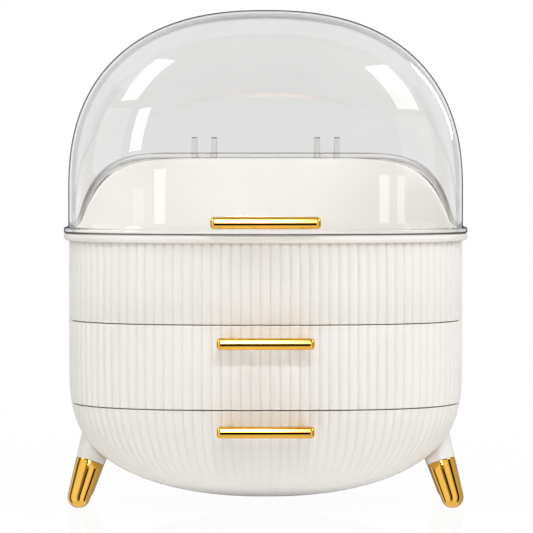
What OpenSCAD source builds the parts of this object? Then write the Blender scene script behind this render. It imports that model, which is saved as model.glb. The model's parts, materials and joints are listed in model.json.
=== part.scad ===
// Countertop organizer: a reeded bowl-bottomed body with two drawers, a high-backed
// top tray, a clear domed cover on rear hinges, and four splayed legs with metal caps.
// Millimetres, +Z up, -Y is the drawer side, Z = 0 is the floor.

/* [Body] */
// Width of the body over its ribs
body_w = 311.6; // [280:0.2:340]
// Depth of the body over its ribs
body_d = 210; // [190:0.5:240]
// Squareness of the plan outline (2 is an ellipse)
plan_power = 2.7; // [2.4:0.1:3]
// Number of ribs round the body
rib_count = 116; // [100:4:132]
// Depth of the grooves between the ribs
groove = 1.3; // [0.6:0.1:2]
// Wall thickness behind the grooves
wall = 2.2; // [1.6:0.1:3]
// Number of ribs on a drawer front
front_ribs = 49; // [47:2:51]

/* [Heights] */
// Clear height under the bowl
stand_h = 7.5; // [5:0.5:20]
// Height of the bowl, up to the lower seam
bowl_h = 76.2; // [70:0.2:84]
// Height over which the wall turns in to the bottom
turn_h = 107.5; // [98:0.5:120]
// Fullness of the bowl's corner
bowl_power = 3.15; // [2.8:0.05:3.5]
// Height of the middle drawer, from seam to seam
middle_h = 65.5; // [58:0.5:80]
// Height of the tray's front wall above the upper seam
tray_h = 68.3; // [50:0.1:90]
// Rise of the tray's back wall above its front rim
back_rise = 58.5; // [40:0.5:70]
// Open line at a seam
seam = 0.9; // [0.5:0.1:1.5]

/* [Rim] */
// Reach of the rim beyond the ribs
rim_reach = 4.2; // [3:0.1:6]
// Thickness of the tray's rim
rim_t = 5.5; // [4:0.1:7]
// Thickness of the cover's rim
cover_rim_t = 4.2; // [3:0.1:6]
// Depth behind the middle where the rim starts to rise
rise_from = 17; // [5:1:30]

/* [Cover] */
// Height of the cover above the tray's front rim
cover_h = 176; // [160:1:200]
// Straight height at the foot of the cover
cover_straight = 32.5; // [20:0.5:50]
// Wall of the cover
cover_wall = 2.2; // [1.6:0.1:3]
// Fullness of the cover seen from the front
cover_side_power = 2.4; // [2.2:0.1:3]
// Fullness of the cover seen from the side
cover_end_power = 3.2; // [2.4:0.1:4]

/* [Hinges] */
// Distance between the two hinges
hinge_pitch = 102; // [60:1:140]
// Distance between the ears of one hinge
ear_pitch = 16.4; // [14:0.2:24]
// Thickness of an ear
ear_t = 4.6; // [3:0.1:6]
// Height of an ear above the back rim
ear_h = 18; // [12:0.5:26]
// Radius of a knuckle
knuckle_r = 4.8; // [4:0.1:6]
// Radius of a hinge pin
pin_r = 1.5; // [1:0.1:2]

/* [Handles] */
// Length of a drawer handle
bar_len = 74.6; // [60:0.2:110]
// Length of the cover handle
cover_bar_len = 84; // [60:0.5:120]
// Radius of a drawer handle
bar_r = 4.6; // [3.5:0.1:6]
// Radius of the cover handle
cover_bar_r = 4.75; // [3.5:0.05:6]
// Drawer front to the middle of the handle
bar_off = 15; // [12:0.5:20]
// Cover wall to the middle of its handle
cover_bar_off = 12.5; // [11:0.5:18]
// Distance between the two posts of a drawer handle
post_pitch = 56; // [44:1:58]
// Distance between the two posts of the cover handle
cover_post_pitch = 64; // [46:1:68]
// Radius of a post
post_r = 3; // [2.5:0.1:3.2]
// Middle handle below the upper seam
middle_bar_drop = 13.3; // [11:0.1:20]
// Bottom handle below the lower seam
bottom_bar_drop = 15.5; // [11:0.1:20]
// Radius of a screw
screw_r = 1.6; // [1.2:0.1:1.8]

/* [Drawers] */
// Half width of the middle drawer's bin
middle_bin_x = 118; // [90:1:122]
// Half width of the bottom drawer's bin
bottom_bin_x = 102; // [80:1:106]
// Wall of a bin
bin_wall = 1.8; // [1.4:0.1:2.4]
// Thickness of the shelf under a drawer
shelf_t = 2.6; // [2:0.1:4]
// Height of the bottom shelf's top above the lowest point of the bowl
base_shelf_h = 25; // [22:0.5:30]
// Slack of a sliding or neighbouring face
slack = 0.35; // [0.25:0.05:0.5]

/* [Legs] */
// Inside of the bowl to the middle of a front leg's spigot, sideways
front_leg_inset = 8.66; // [7:0.01:14]
// Inside of the bowl to the middle of a rear leg's spigot, sideways
rear_leg_inset = 4.73; // [4:0.01:10]
// Front feet, in front of the middle of the body
front_foot_y = 20; // [10:1:26]
// Rear feet, behind the middle of the body
rear_foot_y = 46; // [30:1:56]
// Outward tilt of a leg
leg_tilt = 16.8; // [14:0.2:19]
// Forward or backward tilt of a leg
leg_rake = 11; // [6:0.5:14]
// Radius of the ball at the foot
foot_r = 8.9; // [7:0.1:10]
// Half taper of a leg
leg_taper = 4.3; // [2:0.1:6]
// Length of the metal cap above the ball's middle
cap_len = 29.5; // [22:0.5:36]

/* [Hidden] */
$fn = 48;
ivory = [0.94, 0.93, 0.9];
gold = [0.83, 0.63, 0.2];
clear = [0.82, 0.87, 0.92, 0.35];
steel = [0.7, 0.7, 0.72];
// Air between pieces that seat on each other, and how far a cut runs past what it cuts
fit = 0.05;
over = 1;
// Screws: head, air round the shank, air under the head and past the tip
head_r = 3.2;
head_h = 2;
screw_hole = screw_r + 0.3;
head_air = 0.15;
tip_air = 1;

half_w = body_w / 2;
half_d = body_d / 2;
skin = groove + wall;
low_seam = stand_h + bowl_h;
high_seam = low_seam + middle_h;
front_rim = high_seam + tray_h;
back_rim = front_rim + back_rise;
cover_top = front_rim + cover_h;
cover_shoulder = front_rim + cover_straight;
cover_off = 0.7;
rise_margin = 5;
rise_to = half_d - rise_margin;
shoulder = stand_h + turn_h;
hinge_gap = 0.6;
hinge_drop = 2;
hinge_y = half_d + rim_reach + hinge_gap + knuckle_r;
hinge_z = back_rim - hinge_drop;
front_reach = max(half_d + bar_off + bar_r, half_d + cover_off + cover_bar_off + cover_bar_r);
rear_reach = hinge_y + knuckle_r;
shift_y = (front_reach - rear_reach) / 2;
middle_bar_z = high_seam - middle_bar_drop;
bottom_bar_z = low_seam - bottom_bar_drop;
cover_bar_gap = 0.9;
cover_bar_z = front_rim + slack + cover_rim_t + cover_bar_r + cover_bar_gap;

// --- plan outline ---

// Point of the outline with half axes a and b at polar angle p
function plan(a, b, p) =
    pow(pow(abs(cos(p)) / a, plan_power) + pow(abs(sin(p)) / b, plan_power), -1 / plan_power)
    * [cos(p), sin(p)];

// Its half depth at a distance x from the middle, and its half width at a depth y
function plan_y(a, b, x) = b * pow(1 - pow(abs(x) / a, plan_power), 1 / plan_power);
function plan_x(a, b, y) = a * pow(1 - pow(abs(y) / b, plan_power), 1 / plan_power);

// Outward direction of the outline at one of its points
function outward(q) = let (
    g = [sign(q.x) * pow(abs(q.x) / half_w, plan_power - 1) / half_w,
         sign(q.y) * pow(abs(q.y) / half_d, plan_power - 1) / half_d]
) g / norm(g);

// Arc length from the middle of the front against polar angle
walk_steps = 720;
walk = [for (i = 0, s = 0; i <= walk_steps;
             s = s + norm(body_plan(i + 1) - body_plan(i)), i = i + 1)
        [s, i * 360 / walk_steps - 90]];
function body_plan(i) = plan(half_w, half_d, i * 360 / walk_steps - 90);
round_len = walk[walk_steps][0];
rib_pitch = round_len / rib_count;
function angle_at(s) = lookup(((s % round_len) + round_len) % round_len, walk);
function arc_at(p) = lookup(p < -90 ? p + 360 : p, [for (w = walk) [w[1], w[0]]]);

// Three points to a rib: the groove before it and its two shoulders
rib_shoulder = 0.27;
function rib_point(s, deep) = let (q = plan(half_w, half_d, angle_at(s))) q - deep * outward(q);
function rib_row(first, count, trim) = concat(
    [rib_point((first - 0.5) * rib_pitch + trim, groove)],
    [for (i = [0:count - 1], m = [1:3]) if (i < count - 1 || m < 3)
        rib_point((first + i + [-rib_shoulder, rib_shoulder, 0.5][m - 1]) * rib_pitch,
                  m == 3 ? groove : 0)],
    [rib_point((first + count - 0.5) * rib_pitch - trim, groove)]);

// The same stretch of a smooth outline that lies inside by off, one point to a groove
function smooth_row(first, count, trim, off) =
    [for (i = [0:count]) plan(half_w - off, half_d - off,
        angle_at((first - 0.5 + i) * rib_pitch + (i == 0 ? trim : i == count ? -trim : 0)))];

function smooth_ring(a, b, count = 96) = [for (i = [0:count - 1]) plan(a, b, angle_at(i * round_len / count))];

front_first = -(front_ribs - 1) / 2;
rear_first = front_first + front_ribs;
rear_ribs = rib_count - front_ribs;

// --- bowl ---

// Size of a level of the bowl against its widest, with the wall off thinner all round
function bowl_size(z, off = 0) = z >= shoulder ? 1
    : sqrt(max(0, 1 - pow((shoulder - z) / (turn_h - off), bowl_power)));

// Level at which that size is s
function bowl_level(s, off = 0) = shoulder - (turn_h - off) * pow(1 - s * s, 1 / bowl_power);

// Levels from the flat at the bottom up to z
bowl_steps = 7;
bowl_flat = 0.16;
function bowl_levels(top, off = 0) = let (from = asin(bowl_flat), to = asin(bowl_size(top, off)))
    [for (i = [0:bowl_steps]) i == bowl_steps ? top
        : bowl_level(sin(from + (to - from) * i / bowl_steps), off)];

// A stretch of wall between an outer row, three points to a rib, and an inner row, one to a groove.
// Level l has height outer_z[l] and size outer_s[l]; the inner face has its own.
// With closed_foot the lowest level is filled across, as the bottom of a bowl.
module wall_stretch(outer, inner, outer_z, outer_s, inner_z, inner_s, closed_foot = false) {
    no = len(outer);
    ni = len(inner);
    top = len(outer_z) - 1;
    base = no * (top + 1);
    middle = base + ni * (top + 1);
    function half_way(row, size) = size * (row[0] + row[len(row) - 1]) / 2;
    points = concat(
        [for (l = [0:top], q = outer) [q.x * outer_s[l], q.y * outer_s[l], outer_z[l]]],
        [for (l = [0:top], q = inner) [q.x * inner_s[l], q.y * inner_s[l], inner_z[l]]],
        closed_foot ? [[each half_way(outer, outer_s[0]), outer_z[0]],
                       [each half_way(inner, inner_s[0]), inner_z[0]]] : []);
    function o(l, k) = l * no + k;
    function n(l, k) = base + l * ni + k;
    sides = concat(
        [for (l = [0:top - 1], k = [0:no - 2]) [o(l, k), o(l + 1, k), o(l + 1, k + 1), o(l, k + 1)]],
        [for (l = [0:top - 1], k = [0:ni - 2]) [n(l, k), n(l, k + 1), n(l + 1, k + 1), n(l + 1, k)]],
        [for (l = [0:top - 1]) each [
            [o(l, no - 1), o(l + 1, no - 1), n(l + 1, ni - 1)],
            [o(l, no - 1), n(l + 1, ni - 1), n(l, ni - 1)],
            [n(l, 0), n(l + 1, 0), o(l, 0)],
            [n(l + 1, 0), o(l + 1, 0), o(l, 0)]]]);
    head = [for (r = [0:ni - 2]) concat([for (m = [3:-1:0]) o(top, 3 * r + m)], [n(top, r), n(top, r + 1)])];
    foot = closed_foot
        ? concat(
            [for (r = [0:ni - 2]) concat([for (m = [0:3]) o(0, 3 * r + m)], [middle])],
            [for (r = [0:ni - 2]) [n(0, r + 1), n(0, r), middle + 1]],
            [[o(0, no - 1), n(0, ni - 1), middle + 1, middle], [middle, middle + 1, n(0, 0), o(0, 0)]])
        : [for (r = [0:ni - 2]) concat([for (m = [0:3]) o(0, 3 * r + m)], [n(0, r + 1), n(0, r)])];
    polyhedron(points, concat(sides, head, foot));
}

// The bowl's wall over count ribs, up to z
module bowl_wall(first, count, top, trim) {
    oz = bowl_levels(top);
    iz = bowl_levels(top, skin);
    wall_stretch(rib_row(first, count, trim), smooth_row(first, count, trim, skin),
        oz, [for (z = oz) bowl_size(z)], iz, [for (z = iz) bowl_size(z, skin)], true);
}

// The upright wall over count ribs, from z low to z high
wall_shares = [0, 0.16, 0.48, 1];
module upright_wall(first, count, low, high, trim) {
    z = [for (f = wall_shares) low + (high - low) * f];
    wall_stretch(rib_row(first, count, trim), smooth_row(first, count, trim, skin),
        z, [for (v = z) bowl_size(v)], z, [for (v = z) bowl_size(low)]);
}

// Solid bowl whose surface lies inside the rib crests by off, from its bottom to z
module bowl_solid(off, top, count = 40) {
    z = bowl_levels(top, off);
    last = len(z) - 1;
    ring = smooth_ring(half_w - off, half_d - off, count);
    polyhedron(
        [for (v = z, q = ring) [q.x * bowl_size(v, off), q.y * bowl_size(v, off), v]],
        concat(
            [for (l = [0:last - 1], k = [0:count - 1]) let (m = (k + 1) % count)
                [l * count + k, (l + 1) * count + k, (l + 1) * count + m, l * count + m]],
            [[for (k = [0:count - 1]) k]],
            [[for (k = [count - 1:-1:0]) last * count + k]]));
}

module smooth_prism(off, size, low, high) {
    translate([0, 0, low]) linear_extrude(high - low)
        polygon(size * smooth_ring(half_w - off, half_d - off));
}

module block(low, high) {
    translate(low) cube(high - low);
}

module along_y(r, from, to) {
    translate([0, from, 0]) rotate([-90, 0, 0]) cylinder(r = r, h = to - from);
}

module along_x(r, from, to) {
    translate([from, 0, 0]) rotate([0, 90, 0]) cylinder(r = r, h = to - from);
}

module both_sides(x) {
    for (s = [-1, 1]) translate([s * x, 0, 0]) children();
}

// --- rim ---

// Height of the rim above the front rim, at depth y
function rise(y) = let (u = min(1, max(0, (y - rise_from) / (rise_to - rise_from))))
    back_rise * (1 - cos(180 * u)) / 2;

// Everything between two heights above or below the rim line
rise_steps = 16;
module rim_band(low, high) {
    ys = concat([-body_d],
        [for (i = [0:rise_steps]) rise_from + (rise_to - rise_from) * i / rise_steps], [body_d]);
    translate([-body_w, 0, 0]) rotate([90, 0, 90]) linear_extrude(2 * body_w)
        polygon(concat(
            [for (y = ys) [y, front_rim + rise(y) + high]],
            [for (i = [len(ys) - 1:-1:0]) [ys[i], front_rim + rise(ys[i]) + low]]));
}

// --- top tray ---

tray_floor = 2.6;
tray_foot = high_seam + seam / 2;
boss_r = 6;
boss_h = 18;
boss_bite = 0.8;
boss_blind = 3;
boss_air = 0.2;
low_size = bowl_size(low_seam);

// Middle of a screw boss that stands against the middle case's inner face, at polar angle p
function boss_spot(p) = let (q = low_size * plan(half_w - skin, half_d - skin, p))
    q - (boss_r - boss_bite) * outward(q);
tray_screw_spots = [for (p = [-2, 22]) boss_spot(p)];
knuckle_root = 1;

module tray_knuckle() {
    web = ear_pitch - ear_t - 2 * slack;
    difference() {
        union() {
            translate([0, hinge_y, hinge_z]) along_x(knuckle_r, -web / 2, web / 2);
            block([-web / 2, half_d - knuckle_root, hinge_z - knuckle_r],
                  [web / 2, hinge_y, hinge_z + knuckle_root]);
        }
        translate([0, hinge_y, hinge_z]) along_x(pin_r + fit, -web, web);
    }
}

module top_tray() {
    color(ivory) difference() {
        union() {
            difference() {
                translate([0, 0, tray_foot]) linear_extrude(back_rim - tray_foot)
                    polygon(rib_row(0, rib_count, 0));
                smooth_prism(skin, 1, tray_foot + tray_floor, back_rim + over);
                rim_band(0, 2 * back_rise);
            }
            intersection() {
                difference() {
                    smooth_prism(-rim_reach, 1, front_rim - rim_t - over, back_rim + over);
                    smooth_prism(skin, 1, front_rim - rim_t - 2 * over, back_rim + 2 * over);
                }
                rim_band(-rim_t, 0);
            }
            both_sides(hinge_pitch / 2) tray_knuckle();
        }
        for (s = [-1, 1], q = tray_screw_spots)
            translate([s * q.x, q.y, tray_foot - over]) cylinder(r = screw_hole, h = tray_floor + 2 * over);
    }
}

// Screw whose head sits at height seat and whose tip reaches len below it
module upright_screw(seat, len) {
    translate([0, 0, seat]) cylinder(r = head_r, h = head_h);
    translate([0, 0, seat - len]) cylinder(r = screw_r, h = len + head_h / 2);
}

module tray_screws() {
    color(steel) for (s = [-1, 1], q = tray_screw_spots) translate([s * q.x, q.y, 0])
        upright_screw(tray_foot + tray_floor, tray_floor + boss_h - boss_blind - tip_air);
}

// --- cases behind the drawers ---

guide_t = 3;
guide_h = 8;
guide_root = 1;

// Two upright guides that the sides of a bin run between
module bin_guides(bin_x, floor_z, y_from, y_to) {
    for (s = [-1, 1]) block(
        [min(s * (bin_x + slack), s * (bin_x + slack + guide_t)), y_from, floor_z - guide_root],
        [max(s * (bin_x + slack), s * (bin_x + slack + guide_t)), y_to, floor_z + guide_h]);
}

split_y = rib_point((rear_first - 0.5) * rib_pitch, groove).y;

// Shelf that grows into the case behind the split and stands clear of the drawer front before it
module shelf(back_off, front_off, size, low, high) {
    count = 120;
    step = round_len / count;
    translate([0, 0, low]) linear_extrude(high - low) polygon([for (k = [0:count - 1])
        let (p = angle_at(k * step), off = plan(half_w, half_d, p).y < split_y + step ? front_off : back_off)
        size * plan(half_w - off, half_d - off, p)]);
}

shelf_lift = 0.3;
shelf_top = low_seam + shelf_lift + shelf_t;
// Depth of a shelf's edge in the wall, and ends of the middle guides inside the widest outline
shelf_bite = 1;
guide_inset = 45;

module middle_case() {
    color(ivory) difference() {
        union() {
            upright_wall(rear_first, rear_ribs, low_seam, tray_foot, slack);
            shelf(skin - shelf_bite, skin + 2 * slack, low_size, low_seam + shelf_lift, shelf_top);
            bin_guides(middle_bin_x, shelf_top, guide_inset - half_d, half_d - guide_inset);
            for (s = [-1, 1], q = tray_screw_spots)
                translate([s * q.x, q.y, tray_foot - boss_h]) cylinder(r = boss_r, h = boss_h - boss_air);
        }
        for (s = [-1, 1], q = tray_screw_spots)
            translate([s * q.x, q.y, tray_foot - boss_h + boss_blind])
                cylinder(r = screw_r + fit, h = boss_h - boss_blind);
    }
}

base_floor = stand_h + base_shelf_h;
// Extra depth and clearance where the shelf meets the facets of the bowl, and where its guides run
facet_bite = 0.5;
facet_room = 1.6;
base_size = bowl_size(base_floor - shelf_t, skin);
base_guide_gap = 6.8;
base_guide_inset = 65;
base_guide_front = split_y * base_size + base_guide_gap;
base_guide_back = half_d - base_guide_inset;

module bottom_case() {
    color(ivory) difference() {
        union() {
            bowl_wall(rear_first, rear_ribs, low_seam, slack);
            shelf(skin - shelf_bite - facet_bite, skin + 2 * slack + facet_room, base_size,
                base_floor - shelf_t, base_floor);
            bin_guides(bottom_bin_x, base_floor, base_guide_front, base_guide_back);
            leg_bosses();
        }
        leg_bores();
    }
}

// --- drawers ---

front_low_top = low_seam - seam / 2;
middle_front_low = low_seam + seam / 2;
middle_front_top = high_seam - seam / 2;
// Bins: back ends inside the widest outline, tops below the fronts' tops
middle_bin_gap = 33.6;
bottom_bin_gap = 41.6;
middle_bin_drop = 7.5;
bottom_bin_drop = 4;
middle_bin_low = shelf_top + slack;
middle_bin_top = middle_front_top - middle_bin_drop;
bottom_bin_low = base_floor + slack;
bottom_bin_top = front_low_top - bottom_bin_drop;
bin_floor = 2;
bore_reach = 30;

// Outer faces of a drawer front at its handle
middle_face = -half_d * bowl_size(middle_bar_z);
bottom_face = -half_d * bowl_size(bottom_bar_z);

// Size of the middle bin's outline inside its front
middle_in = low_size * (half_w - skin - slack) / (half_w - skin);

module screw_bores(z) {
    both_sides(post_pitch / 2) translate([0, 0, z]) along_y(screw_hole, -half_d - over, -half_d + bore_reach);
}

module middle_drawer_front() {
    color(ivory) difference() {
        upright_wall(front_first, front_ribs, middle_front_low, middle_front_top, 0);
        screw_bores(middle_bar_z);
    }
}

module middle_drawer_bin() {
    back = half_d - middle_bin_gap;
    color(ivory) difference() {
        intersection() {
            smooth_prism(skin, middle_in, middle_bin_low, middle_bin_top);
            block([-middle_bin_x, -body_d, 0], [middle_bin_x, back, middle_bin_top]);
        }
        intersection() {
            smooth_prism(skin + bin_wall, middle_in, middle_bin_low + bin_floor, middle_bin_top + over);
            block([bin_wall - middle_bin_x, -body_d, 0],
                  [middle_bin_x - bin_wall, back - bin_wall, middle_bin_top + over]);
        }
        screw_bores(middle_bar_z);
    }
}

module bottom_drawer_front() {
    color(ivory) difference() {
        bowl_wall(front_first, front_ribs, front_low_top, 0);
        screw_bores(bottom_bar_z);
    }
}

module bottom_drawer_bin() {
    back = half_d - bottom_bin_gap;
    color(ivory) difference() {
        intersection() {
            bowl_solid(skin + slack, low_seam);
            block([-bottom_bin_x, -body_d, bottom_bin_low], [bottom_bin_x, back, bottom_bin_top]);
        }
        intersection() {
            bowl_solid(skin + slack + bin_wall, low_seam);
            block([bin_wall - bottom_bin_x, -body_d, bottom_bin_low + bin_floor],
                  [bottom_bin_x - bin_wall, back - bin_wall, bottom_bin_top + over]);
        }
        screw_bores(bottom_bar_z);
    }
}

// --- handles ---

bar_fillet = 2.4;
bar_facets = 64;
arc_step = 15;
post_sink = 2.6;
post_air = 0.15;
post_bore = 8;
screw_bite = 7;

// Half outline of a bar with rounded ends, for turning
function bar_outline(len, r) = concat(
    [[0, -len / 2]],
    [for (a = [-90:arc_step:0]) [r - bar_fillet + bar_fillet * cos(a), -len / 2 + bar_fillet + bar_fillet * sin(a)]],
    [for (a = [0:arc_step:90]) [r - bar_fillet + bar_fillet * cos(a), len / 2 - bar_fillet + bar_fillet * sin(a)]],
    [[0, len / 2]]);

module handle_bar(len, r, pitch, y, z) {
    color(gold) translate([0, y, z]) difference() {
        rotate([0, 90, 0]) rotate_extrude($fn = bar_facets) polygon(bar_outline(len, r));
        both_sides(pitch / 2) along_y(post_r + fit, r - post_sink, r + over);
    }
}

module handle_posts(r, pitch, y, face, z) {
    color(gold) both_sides(pitch / 2) translate([0, 0, z]) difference() {
        along_y(post_r, y + r - post_sink + fit, face - post_air);
        along_y(screw_r + fit, face - post_bore, face + over);
    }
}

module handle_screws(pitch, face, seat, z) {
    color(steel) both_sides(pitch / 2) translate([0, 0, z]) {
        along_y(screw_r, face - screw_bite, seat + head_h / 2);
        along_y(head_r, seat, seat + head_h);
    }
}

// Where a screw's head seats on an inner face of size s that lies inside the ribs by off
function seat_y(off, s, pitch) =
    head_air - s * plan_y(half_w - off, half_d - off, (pitch / 2 + head_r) / s);
bottom_in = skin + slack + bin_wall;
facet_air = 1;
middle_seat = seat_y(skin + bin_wall, middle_in, post_pitch);
bottom_seat = seat_y(bottom_in, bowl_size(bottom_bar_z - head_r, bottom_in), post_pitch) + facet_air;

module middle_handle_bar() { handle_bar(bar_len, bar_r, post_pitch, middle_face - bar_off, middle_bar_z); }
module middle_handle_posts() {
    handle_posts(bar_r, post_pitch, middle_face - bar_off, middle_face, middle_bar_z);
}
module middle_handle_screws() { handle_screws(post_pitch, middle_face, middle_seat, middle_bar_z); }

bottom_post_face = -half_d * bowl_size(bottom_bar_z + post_r);
module bottom_handle_bar() { handle_bar(bar_len, bar_r, post_pitch, bottom_face - bar_off, bottom_bar_z); }
module bottom_handle_posts() {
    handle_posts(bar_r, post_pitch, bottom_face - bar_off, bottom_post_face, bottom_bar_z);
}
module bottom_handle_screws() { handle_screws(post_pitch, bottom_post_face, bottom_seat, bottom_bar_z); }

cover_face = -(half_d + cover_off);
cover_bar_y = cover_face - cover_bar_off;
module cover_handle_bar() {
    handle_bar(cover_bar_len, cover_bar_r, cover_post_pitch, cover_bar_y, cover_bar_z);
}
cover_post_face = -plan_y(half_w + cover_off, half_d + cover_off, cover_post_pitch / 2 - post_r);
module cover_handle_posts() {
    handle_posts(cover_bar_r, cover_post_pitch, cover_bar_y, cover_post_face, cover_bar_z);
}
module cover_handle_screws() {
    handle_screws(cover_post_pitch, cover_post_face, seat_y(cover_wall - cover_off, 1, cover_post_pitch),
        cover_bar_z);
}

// --- cover ---

cover_columns = 60;
cover_rows = 11;
// Height below the rim line that is cut off again, so that the foot follows the tray's rim
cover_spare = 1.5;

// Shape of the cover at height z: sizes across and along, for a wall off thinner
function cover_size(z, off, power) = let (u = max(0, z - cover_shoulder) / (cover_top - cover_shoulder - off))
    u >= 1 ? 0 : pow(1 - pow(u, power), 1 / power);

function cover_ring(off, lift) = [for (k = [0:cover_columns - 1])
    let (q = plan(half_w + off, half_d + off, angle_at(k * round_len / cover_columns)))
    [q.x, q.y, front_rim + slack + rise(q.y) + lift]];

// Rows of the dome above a ring, up to just under the top
function cover_dome(ring, off) = [for (i = [1:cover_rows - 1], q = ring)
    let (z = q.z + (cover_top - off - q.z) * sin(90 * i / cover_rows))
    [q.x * cover_size(z, off, cover_side_power), q.y * cover_size(z, off, cover_end_power), z]];

module cover_shell() {
    n = cover_columns;
    lift = cover_rim_t;
    outer = concat(cover_ring(rim_reach, -cover_spare), cover_ring(rim_reach, lift),
        cover_ring(cover_off, lift), cover_dome(cover_ring(cover_off, lift), 0), [[0, 0, cover_top]]);
    inside = cover_ring(cover_off - cover_wall, -cover_spare);
    inner = concat(inside, cover_ring(cover_off - cover_wall, lift),
        cover_dome(cover_ring(cover_off - cover_wall, lift), cover_wall), [[0, 0, cover_top - cover_wall]]);
    outer_rows = cover_rows + 2;
    inner_rows = cover_rows + 1;
    base = len(outer);
    function turn(k) = (k + 1) % n;
    polyhedron(concat(outer, inner), concat(
        [for (l = [0:outer_rows - 2], k = [0:n - 1]) each [
            [l * n + k, (l + 1) * n + k, (l + 1) * n + turn(k)],
            [l * n + k, (l + 1) * n + turn(k), l * n + turn(k)]]],
        [for (k = [0:n - 1]) [(outer_rows - 1) * n + k, base - 1, (outer_rows - 1) * n + turn(k)]],
        [for (l = [0:inner_rows - 2], k = [0:n - 1]) each [
            [base + l * n + k, base + l * n + turn(k), base + (l + 1) * n + turn(k)],
            [base + l * n + k, base + (l + 1) * n + turn(k), base + (l + 1) * n + k]]],
        [for (k = [0:n - 1]) [base + (inner_rows - 1) * n + k, base + (inner_rows - 1) * n + turn(k),
                              base + inner_rows * n]],
        [for (k = [0:n - 1]) each [[k, turn(k), base + turn(k)], [k, base + turn(k), base + k]]]));
}

// Ear on the back of the cover, from the wall to the hinge axis
ear_root = 0.8;
ear_shoulder = 4;
ear_reach = 5;
module cover_ear() {
    foot_z = back_rim + 2 * slack;
    translate([-ear_t / 2, 0, 0]) rotate([90, 0, 90]) linear_extrude(ear_t) polygon([
        [half_d - ear_root, foot_z], [hinge_y - knuckle_r, foot_z], [hinge_y - knuckle_r, hinge_z],
        [hinge_y + knuckle_r, hinge_z], [hinge_y + knuckle_r, hinge_z + ear_shoulder],
        [half_d + ear_reach, back_rim + ear_h], [half_d - ear_root, back_rim + ear_h]]);
    translate([0, hinge_y, hinge_z]) along_x(knuckle_r, -ear_t / 2, ear_t / 2);
}

module dust_cover() {
    color(clear) difference() {
        union() {
            cover_shell();
            for (s = [-1, 1], e = [-1, 1])
                translate([s * hinge_pitch / 2 + e * ear_pitch / 2, 0, 0]) cover_ear();
        }
        translate([0, hinge_y, hinge_z]) along_x(pin_r + fit, -half_w / 2, half_w / 2);
        both_sides(cover_post_pitch / 2) translate([0, 0, cover_bar_z])
            along_y(screw_hole, cover_face - over, cover_post_face + cover_wall + over);
        rim_band(-back_rise / 2, slack);
    }
}

module hinge_pin(side) {
    color(steel) translate([side * hinge_pitch / 2, hinge_y, hinge_z])
        along_x(pin_r, -(ear_pitch + ear_t) / 2, (ear_pitch + ear_t) / 2);
}
module hinge_pin_left() { hinge_pin(-1); }
module hinge_pin_right() { hinge_pin(1); }

// --- legs ---

foot_flat = 0.4;
tenon_r = 5.5;
tenon_len = 16;
spigot_r = 4;
spigot_air = 0.3;
leg_boss_r = 7.5;
screw_depth = 15;
// Depth of a boss's foot in the wall, air between a leg and the wall, and the wedge that shapes both
boss_sink = 2.1;
leg_air = 0.25;
wedge_ribs = 4;
wedge_from = 0.2;
boss_roof = 3;
// Levels of the join between leg and spigot and of the boss's top, and lengths along the leg
join_rise = 48;
boss_rise = 6;
leg_top = 16;
join_z = stand_h + join_rise;
boss_top = join_z + boss_rise;
ball_z = foot_r - foot_flat;
upright = cos(leg_rake) * cos(leg_tilt);
join_h = (join_z - ball_z) / upright;
leg_len = join_h + leg_top;
spigot_from = ball_z + cap_len * upright + over;

// Middle of a leg's spigot, in plan: set in sideways from the inside of the bowl
function join_y(sy) = sy > 0 ? rear_foot_y - join_h * sin(leg_rake) : join_h * sin(leg_rake) - front_foot_y;
function join_spot(sx, sy) = let (s = bowl_size(boss_top, skin))
    [sx * (plan_x(s * (half_w - skin), s * (half_d - skin), join_y(sy))
           - (sy > 0 ? rear_leg_inset : front_leg_inset)), join_y(sy)];

// Middle of a foot, in plan, where the leg's axis comes down from the join
function foot_spot(sx, sy) = join_spot(sx, sy)
    + join_h * [sx * cos(leg_rake) * sin(leg_tilt), sy * sin(leg_rake)];

// Puts its children on the ball of a foot, along the leg
module on_leg(sx, sy) {
    q = foot_spot(sx, sy);
    translate([q.x, q.y, ball_z]) rotate([sy * leg_rake, -sx * leg_tilt, 0]) children();
}

module at_bosses() {
    for (sx = [-1, 1], sy = [-1, 1]) translate(join_spot(sx, sy)) children();
}

// Solid wedge of the bowl beside a leg, from low up to the seam, its outside moved out by grow
module bowl_wedge(sx, sy, grow) {
    spot = join_spot(sx, sy);
    middle = round(arc_at(atan2(spot.y, spot.x)) / rib_pitch);
    ring = concat([[0, 0]], [for (i = [-wedge_ribs:wedge_ribs])
        plan(half_w + grow, half_d + grow, angle_at((middle + i) * rib_pitch))]);
    z = [for (v = bowl_levels(low_seam)) if (v > stand_h + wedge_from * bowl_h) v];
    count = len(ring);
    last = len(z) - 1;
    polyhedron(
        [for (v = z, q = ring) [q.x * bowl_size(v), q.y * bowl_size(v), v]],
        concat(
            [for (l = [0:last - 1], k = [0:count - 1]) let (m = (k + 1) % count)
                [l * count + k, (l + 1) * count + k, (l + 1) * count + m, l * count + m]],
            [[for (k = [0:count - 1]) k]],
            [[for (k = [count - 1:-1:0]) last * count + k]]));
}

module leg_bosses() {
    for (sx = [-1, 1], sy = [-1, 1]) intersection() {
        translate(join_spot(sx, sy)) cylinder(r = leg_boss_r, h = boss_top);
        bowl_wedge(sx, sy, -boss_sink);
    }
}

module leg_bores() {
    at_bosses() {
        translate([0, 0, stand_h]) cylinder(r = spigot_r + fit, h = boss_top - boss_roof - stand_h);
        translate([0, 0, boss_top - boss_roof - over]) cylinder(r = screw_hole, h = boss_roof + 2 * over);
    }
}

function leg_r(h) = foot_r + h * tan(leg_taper);
tenon_foot = cap_len - tenon_len - spigot_air;

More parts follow.
